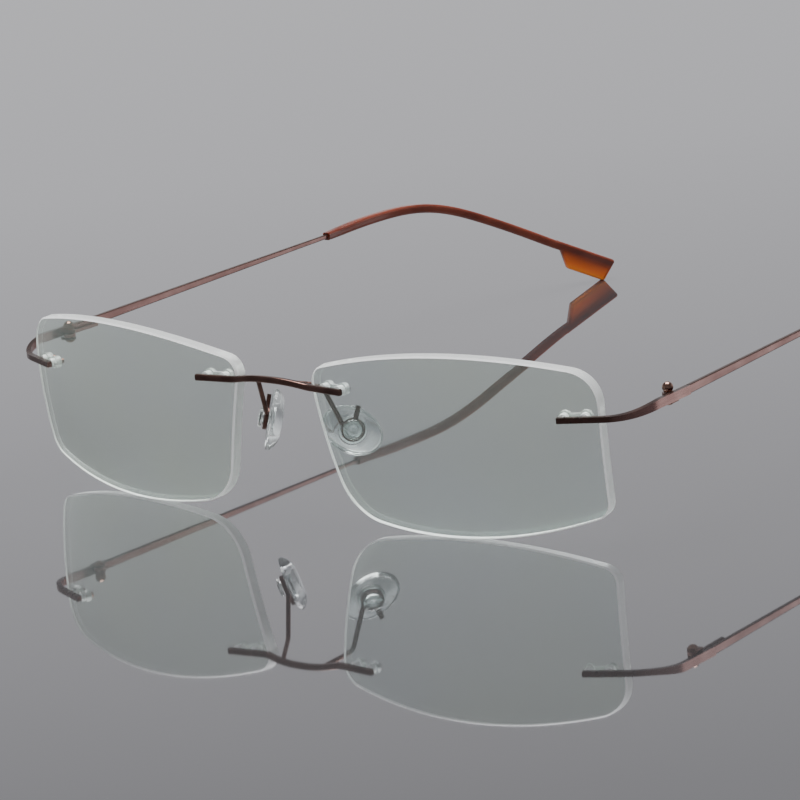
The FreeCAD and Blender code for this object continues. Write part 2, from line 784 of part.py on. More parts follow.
def tip_route():
    """The middle line of the temple's end, hand set: straight, then bent down and inwards over the ear."""
    return [at(65.85, 90.8, 21.95), at(65.75, 98.5, 22.15), at(65.3, 105.5, 22.15), at(64.5, 112.0, 21.85),
            at(63.3, 118.0, 20.85), at(61.9, 123.2, 19.1), at(60.0, 128.6, 16.5), at(57.5, 134.6, 13.15),
            at(54.5, 140.4, 9.567)]


def lofted(stations):
    """A solid through rounded rectangular sections, each (point, direction, width, height, corner)."""
    wires = [bar_section(level_frame(point, direction), width, height, corner)
             for point, direction, width, height, corner in stations]
    return Part.makeLoft(wires, True, False)


def curve_through(points):
    curve = Part.BSplineCurve()
    curve.interpolate(points)
    return curve


def blade_frame():
    """The tip blade's frame: origin at its top front, X along it, Y up and Z outwards."""
    end = tip_route()[-1]
    along_level = heading(90 + val("blade_turn"))
    drop = math.radians(val("blade_drop"))
    along = along_level * math.cos(drop) - Z_AXIS * math.sin(drop)
    outward = along.cross(Z_AXIS).normalize()
    upward = outward.cross(along)
    origin = end + upward * (val("tip_height") / 2) + along * val("blade_set_on")
    return Placement(origin, Rotation(along, upward, outward, "ZXY"))


def temple_path(butt):
    """The points of the temple's middle line: its strip, its bend and the core's end in the blade."""
    start = butt + heading(strip_heading) * val("butt_gap")
    start.z = val("strip_middle_height")
    route = tip_route()
    runs = round((route[0] - start).Length / val("station_spacing"))
    strip = [start + (route[0] - start) * (i / runs) for i in range(runs)]
    core_end = blade_frame().multVec(Vector(val("blade_length") * 0.55, -val("tip_height") * 0.55, 0))
    return strip, route, core_end


def build_temple(butt, hinge):
    strip, route, core_end = temple_path(butt)
    curve = curve_through(strip + route + [core_end])
    params = [curve.parameter(point) for point in strip + route] + [curve.LastParameter]
    stations = []
    taper_end = route[0].y
    for parameter in params:
        point = curve.value(parameter)
        direction = curve.tangent(parameter)[0]
        share = min(1.0, max(0.0, (point.y - strip[0].y) / (taper_end - strip[0].y)))
        width = val("strip_thickness") + (val("core_size") - val("strip_thickness")) * share
        height = val("strip_height") + (val("core_size") - val("strip_height")) * share
        stations.append((point, direction, width, height, val("strip_corner")))
    feature = solid_feature("temple", lofted(stations))
    keep_arm_pair(feature, "temple", hinge)
    return feature, curve


def build_tip(temple, curve, hinge):
    """A sleeve moulded on the core, that ends in a flat blade."""
    place = blade_frame()
    width, height, corner = val("tip_width"), val("tip_height"), val("sleeve_corner")
    stations = []
    for i, point in enumerate(tip_route()):
        parameter = curve.parameter(point)
        share = 0.88 if i == 0 else 1.0
        stations.append((curve.value(parameter), curve.tangent(parameter)[0], width * share, height * share,
                         corner))
    along = place.Rotation.multVec(X_AXIS)
    inside = 0.94
    stations.append((place.multVec(Vector(1.6, -height / 2, 0)), along, width * inside, height * inside, corner))
    sleeve = lofted(stations)
    blade = new_body("tip_blade")
    outline = new_sketch(blade)
    length, depth = dim("blade_length"), dim("blade_depth")
    draw_polygon(outline, [(ON_AXIS, (-1, dim("tip_height"))), (ON_AXIS, ON_AXIS),
                           ((1, length), ON_AXIS), ((1, length * 0.94), (-1, depth)),
                           ((1, length * 0.30), (-1, depth)),
                           ((1, length * 0.09), (-1, dim("tip_height") * 0.95))])
    slab = pad(blade, outline, dim("tip_width"), midplane=True)
    rounded_edges(blade, slab, lambda edge: edge.CenterOfMass.x > 0.01, dim("blade_edge_radius"))
    blade.Placement = place
    doc.recompute()
    tip = sleeve.fuse(blade.Shape).cut(temple.Shape).removeSplitter()
    keep_arm_pair(solid_feature("temple_tip", tip), "temple_tip", hinge)


# Nose pads

def pad_frame():
    """A pad's frame: origin in the middle of its ring, Z towards the nose and Y up the pad."""
    facing = Vector(-0.71, 0.64, -0.28).normalize()
    level = Z_AXIS.cross(facing).normalize()
    upward = facing.cross(level)
    lean = math.radians(val("pad_lean"))
    top = upward * math.cos(lean) - level * math.sin(lean)
    return frame_of(at(10.0, 8.1, 14.75), top.cross(facing), facing)


def mirrored_frame(place):
    """The frame of the right side's twin, with its own Y and Z mirrored."""
    base, facing, top = [Vector(-v.x, v.y, v.z) for v in
                         (place.Base, place.Rotation.multVec(Z_AXIS), place.Rotation.multVec(Y_AXIS))]
    return frame_of(base, top.cross(facing), facing)


def build_pad_arm(bridge, shoulder, holder, place):
    """A round wire from behind the bridge, back and down to the edge of the ring."""
    root = Vector(4.6, shoulder.y + 0.75, shoulder.z - 0.3)
    meeting = Rotation(Z_AXIS, val("arm_meets_ring")).multVec(X_AXIS) * (val("ring_radius") + 0.05)
    rim = place.multVec(meeting)
    path = bent_path([root, at(7.6, 4.7, 22.8), rim], [val("arm_bend_radius")])
    first = path.Edges[0]
    circle = Part.Circle(root, first.tangentAt(first.FirstParameter), val("arm_radius"))
    shell = Part.BRepOffsetAPI.MakePipeShell(path)
    shell.add(Part.Wire(circle.toShape()))
    shell.build()
    shell.makeSolid()
    wire = shell.shape().cut(bridge.Shape).cut(holder.Shape)
    longest = max(wire.Solids, key=lambda solid: solid.Volume)
    keep_pair(solid_feature("pad_arm", longest), "pad_arm")


def build_pad_holder(place):
    """The ring that a pad's stud snaps into and turns in, with the upright tongue that carries it."""
    body = new_body("pad_holder")
    ring = new_sketch(body, lift=dim("ring_thickness") * -0.5)
    draw_circle(ring, dim("ring_radius"))
    pad(body, ring, dim("ring_thickness"))
    tongue = new_sketch(body, lift=dim("ring_thickness") * -0.5)
    half = dim("tongue_width") / 2
    draw_rectangle(tongue, (-1, half), (1, half), (1, dim("ring_bore") * 1.1),
                   (1, dim("ring_radius") + dim("tongue_length")))
    pad(body, tongue, dim("ring_thickness"))
    bore = new_sketch(body)
    draw_circle(bore, dim("ring_bore"))
    cut_through(body, bore)
    keep_pair(body, "pad_holder", place)
    doc.recompute()
    return body


def build_pad_stud(place):
    """The pad's hard insert: a plate inside the pad, a neck through the ring and a head behind it."""
    body = new_body("pad_stud")
    neck_start = dim("ring_thickness") / 2 + dim("stud_play")
    head = new_sketch(body, lift=(neck_start + dim("stud_head_thickness")) * -1)
    draw_circle(head, dim("stud_head_radius"))
    pad(body, head, dim("stud_head_thickness"))
    neck = new_sketch(body, lift=neck_start * -1)
    draw_circle(neck, dim("stud_radius"))
    pad(body, neck, neck_start * 2)
    plate = new_sketch(body, lift=neck_start)
    draw_circle(plate, dim("stud_plate_radius"))
    last = pad(body, plate, dim("stud_plate_thickness"))
    low = -neck_start.value - val("stud_head_thickness")
    rounded_edges(body, last, lambda edge: abs(edge.CenterOfMass.z - low) < 0.01
                  and edge.Length > 1, dim("stud_head_thickness") * 0.4)
    keep_pair(body, "pad_stud", place)


def build_nose_pad(name, place):
    """A soft oval pad, round at its edges, moulded over the stud's plate."""
    body = new_body(name)
    base = dim("ring_thickness") / 2 + dim("stud_play")
    outline = new_sketch(body, lift=base)
    ellipse = Part.Ellipse(Vector(0, 0, 0), val("pad_length") / 2, val("pad_width") / 2)
    ellipse.rotate(Placement(Vector(0, 0, 0), Rotation(Z_AXIS, 90), Vector(0, 0, 0)))
    curve = outline.addGeometry(ellipse)
    outline.exposeInternalGeometry(curve)
    doc.recompute()
    slab = pad(body, outline, dim("pad_thickness"))
    rounded_edges(body, slab, lambda edge: edge.Length > 20, dim("pad_edge_radius"))
    recess = new_sketch(body, lift=base)
    draw_circle(recess, dim("stud_plate_radius") + dim("pad_clearance"))
    pocket = body.newObject("PartDesign::Pocket", "Pocket")
    pocket.Profile = recess
    bind(pocket, "Length", dim("stud_plate_thickness") + dim("pad_clearance"))
    pocket.Reversed = True
    doc.recompute()
    keep(body, name, place)


# Building

build_lens()
build_posts("nasal_posts", nasal_mount)
build_posts("temporal_posts", temporal_mount)
build_bushing("nasal_bushing", nasal_mount)
build_bushing("temporal_bushing", temporal_mount)
bridge_bar, bridge_shoulder = build_bridge()
butt_point = build_endpiece()
hinge_place = hinge_frame(butt_point)
temple_feature, temple_curve = build_temple(butt_point, hinge_place)
build_tip(temple_feature, temple_curve, hinge_place)
build_hinge(hinge_place, temple_feature)
pad_place = pad_frame()
holder = build_pad_holder(pad_place)
build_pad_arm(bridge_bar, bridge_shoulder, holder, pad_place)
build_pad_stud(pad_place)
left_turn = Placement(Vector(0, 0, 0), Rotation(Z_AXIS, val("pad_left_turn")))
build_nose_pad("nose_pad_left", pad_place.multiply(left_turn))
build_nose_pad("nose_pad_right", mirrored_frame(pad_place))
doc.recompute()

# Checks and output

for item in doc.Objects:
    if any(word in item.State for word in ("Invalid", "Error")):
        raise RuntimeError("%s failed: %s" % (item.Label, item.State))
for item in SUBPARTS:
    if item.Shape.isNull() or not item.Shape.isValid():
        raise RuntimeError("%s has no valid shape" % item.Label)

os.makedirs("parts", exist_ok=True)
for item in SUBPARTS:
    item.Shape.exportStep(os.path.join("parts", item.Label + ".step"))
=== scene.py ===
import json
import math

import bmesh
import bpy
from mathutils import Matrix, Vector
from mathutils.bvhtree import BVHTree


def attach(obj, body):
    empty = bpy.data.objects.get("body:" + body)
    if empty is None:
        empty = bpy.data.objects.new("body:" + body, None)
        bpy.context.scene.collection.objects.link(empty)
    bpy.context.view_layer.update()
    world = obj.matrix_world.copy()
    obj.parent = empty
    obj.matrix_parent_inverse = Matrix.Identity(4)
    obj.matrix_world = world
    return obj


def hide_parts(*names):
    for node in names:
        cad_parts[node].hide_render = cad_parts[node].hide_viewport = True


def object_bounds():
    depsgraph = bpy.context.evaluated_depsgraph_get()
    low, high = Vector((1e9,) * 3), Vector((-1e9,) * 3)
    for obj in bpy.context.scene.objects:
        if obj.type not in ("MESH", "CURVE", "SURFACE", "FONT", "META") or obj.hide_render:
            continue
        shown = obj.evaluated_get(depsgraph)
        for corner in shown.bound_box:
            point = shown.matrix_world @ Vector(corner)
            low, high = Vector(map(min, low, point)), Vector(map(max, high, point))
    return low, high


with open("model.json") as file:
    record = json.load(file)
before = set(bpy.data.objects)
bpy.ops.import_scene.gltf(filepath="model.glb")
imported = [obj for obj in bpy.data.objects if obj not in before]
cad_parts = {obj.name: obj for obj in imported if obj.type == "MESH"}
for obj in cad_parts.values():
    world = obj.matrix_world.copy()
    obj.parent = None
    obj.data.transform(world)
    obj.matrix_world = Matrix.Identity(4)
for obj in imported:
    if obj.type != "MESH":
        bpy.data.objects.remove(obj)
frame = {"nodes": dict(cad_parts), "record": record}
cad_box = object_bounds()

MM = 0.001
SIDES = ("left", "right")
JOINTS = {joint["name"]: joint for joint in frame["record"]["behaviour"]["joints"]}
MOUNTS = {mount["name"]: mount for mount in frame["record"]["mounts"]}


# Material helpers

NOISE_LOW, NOISE_HIGH = 0.3, 0.7        # nearly all of a noise's values lie between these


def new_material(name):
    """An empty node material; returns it with its tree and its output node."""
    material = bpy.data.materials.new(name)
    material.use_nodes = True
    tree = material.node_tree
    tree.nodes.clear()
    return material, tree, tree.nodes.new("ShaderNodeOutputMaterial")


def add_node(tree, kind, inputs=(), **settings):
    """A node with its settings; an input is given a number or colour, or another node's output."""
    node = tree.nodes.new("ShaderNode" + kind)
    for key, value in settings.items():
        setattr(node, key, value)
    for key, value in dict(inputs).items():
        if isinstance(value, bpy.types.NodeSocket):
            tree.links.new(value, node.inputs[key])
        else:
            node.inputs[key].default_value = value
    return node


def colour(red, green, blue):
    """An opaque colour."""
    return (red, green, blue, 1.0)


def noise(tree, scale, stretch=(1, 1, 1), detail=2.0):
    """Noise in the object's own metres, scale per metre, drawn out where stretch is small."""
    place = add_node(tree, "TexCoord").outputs["Object"]
    mapped = add_node(tree, "Mapping", {"Vector": place, "Scale": stretch})
    grain = add_node(tree, "TexNoise", {"Vector": mapped.outputs["Vector"], "Scale": scale,
                                        "Detail": detail})
    return grain.outputs["Fac"]


def ramp(tree, factor, stops):
    """A colour that runs through (factor, colour) stops."""
    node = add_node(tree, "ValToRGB", {"Fac": factor})
    elements = node.color_ramp.elements
    while len(elements) < len(stops):
        elements.new(0.5)
    for element, (position, tint) in zip(elements, stops):
        element.position = position
        element.color = tint
    return node.outputs["Color"]


def mottled(tree, grain, first, second):
    """A colour that wanders between two with a noise."""
    return ramp(tree, grain, [(NOISE_LOW, first), (NOISE_HIGH, second)])


def mapped_range(tree, value, start, end, low=0.0, high=1.0):
    """A number from low to high as the value goes from start to end."""
    node = add_node(tree, "MapRange", {"Value": value, "From Min": start, "From Max": end,
                                       "To Min": low, "To Max": high})
    return node.outputs["Result"]


def spread(tree, grain, low, high):
    """A number that wanders between low and high with a noise."""
    return mapped_range(tree, grain, NOISE_LOW, NOISE_HIGH, low, high)


def mixed_colour(tree, factor, first, second):
    """The first colour where the factor is 0, and the second where it is 1."""
    node = add_node(tree, "Mix", {"Factor": factor, "A": first, "B": second}, data_type="RGBA")
    return node.outputs[2]


def mixed_shader(tree, factor, first, second):
    """The first shader where the factor is 0, and the second where it is 1."""
    return add_node(tree, "MixShader", {0: factor, 1: first.outputs[0], 2: second.outputs[0]})


def dot_product(tree, vector, way):
    """How far a vector goes along a way."""
    return add_node(tree, "VectorMath", {0: vector, 1: way}, operation="DOT_PRODUCT").outputs["Value"]


def squareness(tree, way):
    """How squarely the surface faces along a way: 1 face on, from either side, and 0 edge on."""
    facing = add_node(tree, "NewGeometry").outputs["True Normal"]
    return add_node(tree, "Math", {0: dot_product(tree, facing, way)}, operation="ABSOLUTE").outputs[0]


def bump(tree, height, strength, distance):
    """Normals bent by a height, with its distance in metres."""
    node = add_node(tree, "Bump", {"Height": height, "Strength": strength, "Distance": distance})
    return node.outputs["Normal"]


def set_surface(tree, output, shader):
    """Makes the shader the material's surface."""
    tree.links.new(shader.outputs[0], output.inputs["Surface"])


def set_clear_surface(tree, output, shader, shade):
    """The same for clear plastic or glass, which light from the lamps goes through, dimmed to shade."""
    path = add_node(tree, "LightPath")
    passed = add_node(tree, "BsdfTransparent", {"Color": shade})
    set_surface(tree, output, mixed_shader(tree, path.outputs["Is Shadow Ray"], shader, passed))


# Metals

# the plating's darker brown, which the flat strips also take as painted shade on some of their faces
DARK_PLATING_AND_SHADE = colour(0.09, 0.05, 0.042)
COPPER_PLATING = colour(0.17, 0.095, 0.078)
DARK_SATIN = colour(0.3, 0.175, 0.158)
PALE_SATIN = colour(0.39, 0.24, 0.218)
DARK_POLISH = colour(0.2, 0.11, 0.085)
PALE_POLISH = colour(0.32, 0.2, 0.16)
# stretches that draw the brushing's lines out along one direction
ALONG_X, ALONG_Y, ALONG_Z = (0.03, 1, 1), (1, 0.03, 1), (1, 1, 0.03)


def clouded(tree, dark, light):
    """The plating's slow drift between two browns."""
    return ramp(tree, noise(tree, scale=260, detail=3.0), [(0.32, dark), (0.68, light)])


def set_brushed_surface(tree, output, tint, rough, streaks):
    """Satin metal with the fine lines of its brushing."""
    lines = noise(tree, scale=900, stretch=streaks, detail=4.0)
    set_surface(tree, output, add_node(tree, "BsdfPrincipled", {
        "Base Color": tint,
        "Metallic": 1.0,
        "Roughness": spread(tree, lines, rough - 0.06, rough + 0.08),
        "Normal": bump(tree, lines, strength=0.25, distance=4e-6),
    }))


def plated_metal(name, rough, streaks):
    """The brown plating of the bars and wires."""
    material, tree, output = new_material(name)
    set_brushed_surface(tree, output, clouded(tree, DARK_PLATING_AND_SHADE, COPPER_PLATING), rough, streaks)
    return material


def strip_metal(name, rough, streaks, way, painted_shade_at, satin_at):
    """The flat strips: pale satin, with painted shade of dark plating on the faces told apart by how
    squarely they face along a way.
    """
    material, tree, output = new_material(name)
    # painted shade: how squarely a face faces the way decides where dark plating is painted over the satin
    unshaded_share = mapped_range(tree, squareness(tree, way), painted_shade_at, satin_at)
    satin = clouded(tree, DARK_SATIN, PALE_SATIN)
    tint = mixed_colour(tree, unshaded_share, DARK_PLATING_AND_SHADE, satin)
    set_brushed_surface(tree, output, tint, rough, streaks)
    return material


def polished_metal(name):
    """The screws, nuts and posts: the same plating, polished, with a few faint marks."""
    material, tree, output = new_material(name)
    marks = noise(tree, scale=1800, detail=4.0)
    set_surface(tree, output, add_node(tree, "BsdfPrincipled", {
        "Base Color": mottled(tree, marks, DARK_POLISH, PALE_POLISH),
        "Metallic": 1.0,
        "Roughness": spread(tree, marks, 0.07, 0.16),
        "Normal": bump(tree, marks, strength=0.1, distance=3e-6),
    }))
    return material


# Lenses

# squareness to the lens's axis: the coated faces are above the first, and the edge's bevels above the second
FACE_ABOVE, BEVEL_ABOVE = 0.88, 0.3
LENS_SHADE = colour(0.86, 0.9, 0.87)


def lens_axis(node):
    """The way out of the lens's faces: the mean of the normals of its front."""
    total = Vector()
    for face in node.data.polygons:
        if face.normal.y < -0.5:
            total += face.normal * face.area
    return total.normalized()


def coated_glass(tree):
    """The clear faces, grey-green, with the tint of their coating."""
    smears = noise(tree, scale=35)
    return add_node(tree, "BsdfPrincipled", {
        "Base Color": mottled(tree, smears, colour(0.83, 0.905, 0.825), colour(0.82, 0.885, 0.87)),
        "Roughness": spread(tree, smears, 0.0, 0.02),
        "IOR": 1.5,
        "Transmission Weight": 0.94,
        "Specular Tint": colour(0.62, 0.95, 0.78),
    })


def ground_glass(tree, grit):
    """The flat of the ground edge: white and half clear, with a faint glow for the light inside the lens."""
    return add_node(tree, "BsdfPrincipled", {
        "Base Color": mottled(tree, grit, colour(0.84, 0.86, 0.85), colour(0.95, 0.96, 0.955)),
        "Roughness": spread(tree, grit, 0.3, 0.5),
        "IOR": 1.5,
        "Transmission Weight": 0.5,
        "Emission Color": colour(0.95, 1.0, 0.98),
        "Emission Strength": 0.07,
        "Normal": bump(tree, grit, strength=0.3, distance=1e-5),
    })


def bevel_glass(tree, grit):
    """The edge's two bevels, whiter than its flat, with a brighter painted glow."""
    return add_node(tree, "BsdfPrincipled", {
        "Base Color": mottled(tree, grit, colour(0.93, 0.94, 0.935), colour(0.99, 0.99, 0.99)),
        "Roughness": spread(tree, grit, 0.35, 0.55),
        "IOR": 1.5,
        "Transmission Weight": 0.1,
        # painted glow on the bevels, stronger than the flat's
        "Emission Color": colour(0.97, 1.0, 0.99),
        "Emission Strength": 0.2,
    })


def lens_glass(name, axis):
    """Coated faces, and a ground white edge between two whiter bevels with a brighter painted glow."""
    material, tree, output = new_material(name)
    straight = squareness(tree, axis)
    is_edge = add_node(tree, "Math", {0: straight, 1: FACE_ABOVE}, operation="LESS_THAN").outputs[0]
    is_bevel = add_node(tree, "Math", {0: straight, 1: BEVEL_ABOVE}, operation="GREATER_THAN").outputs[0]
    grit = noise(tree, scale=2600, detail=6.0)
    edge = mixed_shader(tree, is_bevel, ground_glass(tree, grit), bevel_glass(tree, grit))
    set_clear_surface(tree, output, mixed_shader(tree, is_edge, coated_glass(tree), edge), LENS_SHADE)
    return material


# Plastics

PLASTIC_SHADE = colour(0.85, 0.88, 0.88)
# reaches on the tip's blade, in millimetres from the mount at its end: along it, where the painted orange
# glow sets in, and upwards, where it ends under the sleeve and where the painted glow goes from dark to
# bright, brightest lowest down
BLADE_START = (-12.2, -10.2)
BLADE_TOP = (1.1, 0.3)
BLADE_GLOW_FADE = (0.4, -2.1)


def clear_plastic(name, tint, clear, rough, ior, flow, ripple):
    """Clear moulded plastic or silicone, with faint flow marks."""
    material, tree, output = new_material(name)
    marks = noise(tree, scale=flow, detail=3.0)
    shader = add_node(tree, "BsdfPrincipled", {
        "Base Color": tint,
        "Roughness": spread(tree, marks, rough * 0.6, rough * 1.4),
        "IOR": ior,
        "Transmission Weight": clear,
        "Normal": bump(tree, marks, strength=0.3, distance=ripple),
    })
    set_clear_surface(tree, output, shader, PLASTIC_SHADE)
    return material


def amber_plastic(name, blade_end, along, up):
    """Brown acetate; the thin blade that hangs below the sleeve's line is painted orange, a painted glow for
    the light through it.
    """
    material, tree, output = new_material(name)
    place = add_node(tree, "TexCoord").outputs["Object"]
    offset = add_node(tree, "VectorMath", {0: place, 1: blade_end}, operation="SUBTRACT").outputs["Vector"]

    def share(way, reach):
        """How far a point has come from one end of a reach to the other along a way, from 0 to 1."""
        start, end = reach
        return mapped_range(tree, dot_product(tree, offset, way), start * MM, end * MM)

    in_blade = add_node(tree, "Math", {0: share(along, BLADE_START), 1: share(up, BLADE_TOP)},
                        operation="MULTIPLY").outputs[0]
    swirl = noise(tree, scale=220, stretch=(1, 0.4, 1), detail=3.0)
    brown = mottled(tree, swirl, colour(0.14, 0.027, 0.014), colour(0.23, 0.05, 0.026))
    # painted glow: the blade's orange, darker near the sleeve and brighter the lower it hangs
    orange = ramp(tree, share(up, BLADE_GLOW_FADE), [(0.0, colour(0.5, 0.09, 0.02)),
                                                (0.6, colour(0.88, 0.18, 0.015)),
                                                (1.0, colour(1.0, 0.3, 0.02))])
    set_surface(tree, output, add_node(tree, "BsdfPrincipled", {
        "Base Color": mixed_colour(tree, in_blade, brown, orange),
        "Roughness": spread(tree, noise(tree, scale=900, detail=3.0), 0.14, 0.24),
        "IOR": 1.5,
        "Transmission Weight": mapped_range(tree, in_blade, 0.0, 1.0, low=0.1, high=0.55),
        "Subsurface Weight": 0.2,
        "Subsurface Radius": (0.8, 0.3, 0.1),
        "Subsurface Scale": 0.001,
    }))
    return material


# The carried-over nodes and their materials

bar_metal = plated_metal("bar_plating", rough=0.2, streaks=ALONG_X)
# painted shade: the temple's top and bottom edges, and the endpiece's faces that don't face along X, are
# painted dark
temple_metal = strip_metal("temple_plating", rough=0.3, streaks=ALONG_Y,
                           way=(0, 0, 1), painted_shade_at=0.55, satin_at=0.25)
endpiece_metal = strip_metal("endpiece_plating", rough=0.28, streaks=ALONG_Y,
                             way=(1, 0, 0), painted_shade_at=0.5, satin_at=0.97)
wire_metal = plated_metal("wire_plating", rough=0.22, streaks=ALONG_Z)
screw_metal = polished_metal("screw_plating")
bushing_plastic = clear_plastic("bushing_plastic", colour(0.98, 0.99, 0.99), clear=0.6, rough=0.06,
                                ior=1.49, flow=2200, ripple=1.2e-4)
stud_plastic = clear_plastic("stud_plastic", colour(0.9, 0.96, 0.94), clear=0.98, rough=0.05,
                             ior=1.49, flow=1200, ripple=2e-5)
pad_silicone = clear_plastic("pad_silicone", colour(0.93, 0.97, 0.97), clear=0.97, rough=0.05,
                             ior=1.45, flow=400, ripple=2e-5)

FINISHES = {
    "bridge": bar_metal,
    "endpiece": endpiece_metal,
    "temple": temple_metal,
    "hinge_block": wire_metal,
    "hinge_leaf": temple_metal,
    "hinge_screw": screw_metal,
    "hinge_nut": screw_metal,
    "pad_arm": wire_metal,
    "pad_holder": wire_metal,
    "nasal_posts": screw_metal,
    "temporal_posts": screw_metal,
    "nasal_bushing": bushing_plastic,
    "temporal_bushing": bushing_plastic,
    "pad_stud": stud_plastic,
}

for label, node in frame["nodes"].items():
    kind = label.rsplit("_", 1)[0] if label.endswith(SIDES) else label
    if kind == "lens":
        node.data.materials[0] = lens_glass("glass_" + label, lens_axis(node))
    elif kind in FINISHES:
        node.data.materials[0] = FINISHES[kind]


# Mesh helpers

def new_piece(name, mesh, material, body, node):
    """A visible piece that rides on a body and stands for a CAD node."""
    piece = bpy.data.objects.new(name, mesh)
    bpy.context.scene.collection.objects.link(piece)
    mesh.materials.clear()
    mesh.materials.append(material)
    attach(piece, body)
    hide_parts(node)


def finished_mesh(name, shape, crease):
    """The shape as a smooth mesh, with sharp edges where the surface turns by more than crease degrees."""
    for face in shape.faces:
        face.smooth = True
    for edge in shape.edges:
        edge.smooth = len(edge.link_faces) == 2 and edge.calc_face_angle(0.0) < math.radians(crease)
    mesh = bpy.data.meshes.new(name)
    shape.to_mesh(mesh)
    shape.free()
    return mesh


def ring_angles(count):
    """The angles of equally spaced points round a ring."""
    return [2 * math.pi * i / count for i in range(count)]


def ringed_mesh(name, rings, ends):
    """A skin over rings of equally many points, closed on a middle point at each end."""
    shape = bmesh.new()
    rows = [[shape.verts.new(point) for point in ring] for ring in rings]
    count = len(rows[0])
    for inner, outer in zip(rows, rows[1:]):
        for i in range(count):
            j = (i + 1) % count
            shape.faces.new((inner[i], inner[j], outer[j], outer[i]))
    for row, end in zip((rows[0], rows[-1]), ends):
        middle = shape.verts.new(end)
        for i in range(count):
            shape.faces.new((row[i], row[(i + 1) % count], middle))
    bmesh.ops.recalc_face_normals(shape, faces=shape.faces[:])
    return finished_mesh(name, shape, crease=50)


# Temple tips: the CAD sleeve and blade, closed on to the metal core

CORE_TOUCH = 2e-5       # metres: a wall of the hollow lies this near to the core
SAME_PLACE = 1e-6       # metres: vertices this near to one another are one


def tip_mesh(side):
    """A copy of the tip without the walls of its hollow, so that the core is cast in the plastic."""
    core = frame["nodes"]["temple_" + side].data
    core_surface = BVHTree.FromPolygons([vertex.co for vertex in core.vertices],
                                        [tuple(face.vertices) for face in core.polygons])
    shape = bmesh.new()
    shape.from_mesh(frame["nodes"]["temple_tip_" + side].data)
    bmesh.ops.remove_doubles(shape, verts=shape.verts[:], dist=SAME_PLACE)

    def on_core(face):
        points = [vertex.co for vertex in face.verts] + [face.calc_center_median()]
        return all(core_surface.find_nearest(point, CORE_TOUCH)[0] is not None for point in points)

    bmesh.ops.delete(shape, geom=[face for face in shape.faces if on_core(face)], context="FACES")
    return finished_mesh("tip_mesh_" + side, shape, crease=35)


def mount_way(name):
    """A mount's place and the way it faces."""
    mount = MOUNTS[name]
    return Vector(mount["pos_m"]), Vector(mount["axis"]).normalized()


for side in SIDES:
    blade_end, along = mount_way("cord_end_" + side)
    up = mount_way("blade_face_" + side)[1].cross(along)
    up = up if up.z > 0 else -up
    tip_plastic = amber_plastic("amber_plastic_" + side, blade_end, along, up)
    new_piece("tip_" + side, tip_mesh(side), tip_plastic,
              "temple_arm_" + side, "temple_tip_" + side)


# Nose pads: a soft oval with a seat for the stud, a shallow dish at the back, a thin rim and a crowned face

SEAT_RADIUS = 2.34 * MM
PAD_SEGMENTS = 64
# rings from the stud's seat out over the back, round the rim and in over the crowned face:
# (share of the way from the seat's circle to the oval's edge, share of the thickness)
SEAT = [(0.0, 0.30), (0.0, 0.05)]
BACK = [(0.05, 0.03), (0.30, 0.16), (0.62, 0.17), (0.76, 0.08), (0.86, 0.0)]
RIM = [(0.95, 0.03), (0.985, 0.08), (1.0, 0.17), (1.0, 0.25), (0.98, 0.34)]
CROWN = [(0.92, 0.45), (0.80, 0.60), (0.62, 0.76), (0.40, 0.89), (0.15, 0.97)]


def ring_axis(side):
    """The middle of the holder's ring, and the way from it to the pad."""
    joint = JOINTS["nose_pad_%s_turn" % side]
    return Vector(joint["pos_m"]), Vector(joint["axis"]).normalized()


def pad_mesh(side):
    """The oval pad, as long, wide and thick as its CAD node and turned the same way."""
    origin, facing = ring_axis(side)
    offsets = [vertex.co - origin for vertex in frame["nodes"]["nose_pad_" + side].data.vertices]
    long_way = max((offset - facing * offset.dot(facing) for offset in offsets), key=lambda way: way.length)
    lengthwise = long_way.normalized()
    across = facing.cross(lengthwise)
    half_length, half_width = long_way.length, max(abs(offset.dot(across)) for offset in offsets)
    levels = [offset.dot(facing) for offset in offsets]
    base, thickness = min(levels), max(levels) - min(levels)

    def rise(level):
        """The way from the ring's middle up to a share of the pad's thickness."""
        return facing * (base + thickness * level)

    rings = []
    for share, level in SEAT + BACK + RIM + CROWN:
        ring = []
        for angle in ring_angles(PAD_SEGMENTS):
            circle = Vector((math.cos(angle), math.sin(angle))) * SEAT_RADIUS
            oval = Vector((math.cos(angle) * half_length, math.sin(angle) * half_width))
            flat = circle.lerp(oval, share)
            ring.append(origin + lengthwise * flat.x + across * flat.y + rise(level))
        rings.append(ring)
    seat_level = SEAT[0][1]
    return ringed_mesh("pad_mesh_" + side, rings, (origin + rise(seat_level), origin + rise(1.0)))


for side in SIDES:
    new_piece("pad_" + side, pad_mesh(side), pad_silicone,
              "pad_body_" + side, "nose_pad_" + side)


# Pad studs: a domed head with a dimple, a neck and a plate inside the pad, turned about the pad's axis

STUD_SEGMENTS = 64
# from axis to axis: (radius, height towards the pad from the middle of the ring), in millimetres
STUD_HEAD = [(0.0, -0.98), (0.32, -1.0), (0.52, -1.06), (0.68, -1.17), (0.9, -1.2), (1.25, -1.17),
             (1.52, -1.07), (1.67, -0.92), (1.7, -0.8), (1.66, -0.7), (1.56, -0.65)]
STUD_NECK = [(1.0, -0.65), (1.0, 0.65)]
STUD_PLATE = [(2.22, 0.65), (2.3, 0.72), (2.3, 1.18), (2.22, 1.25), (0.0, 1.25)]


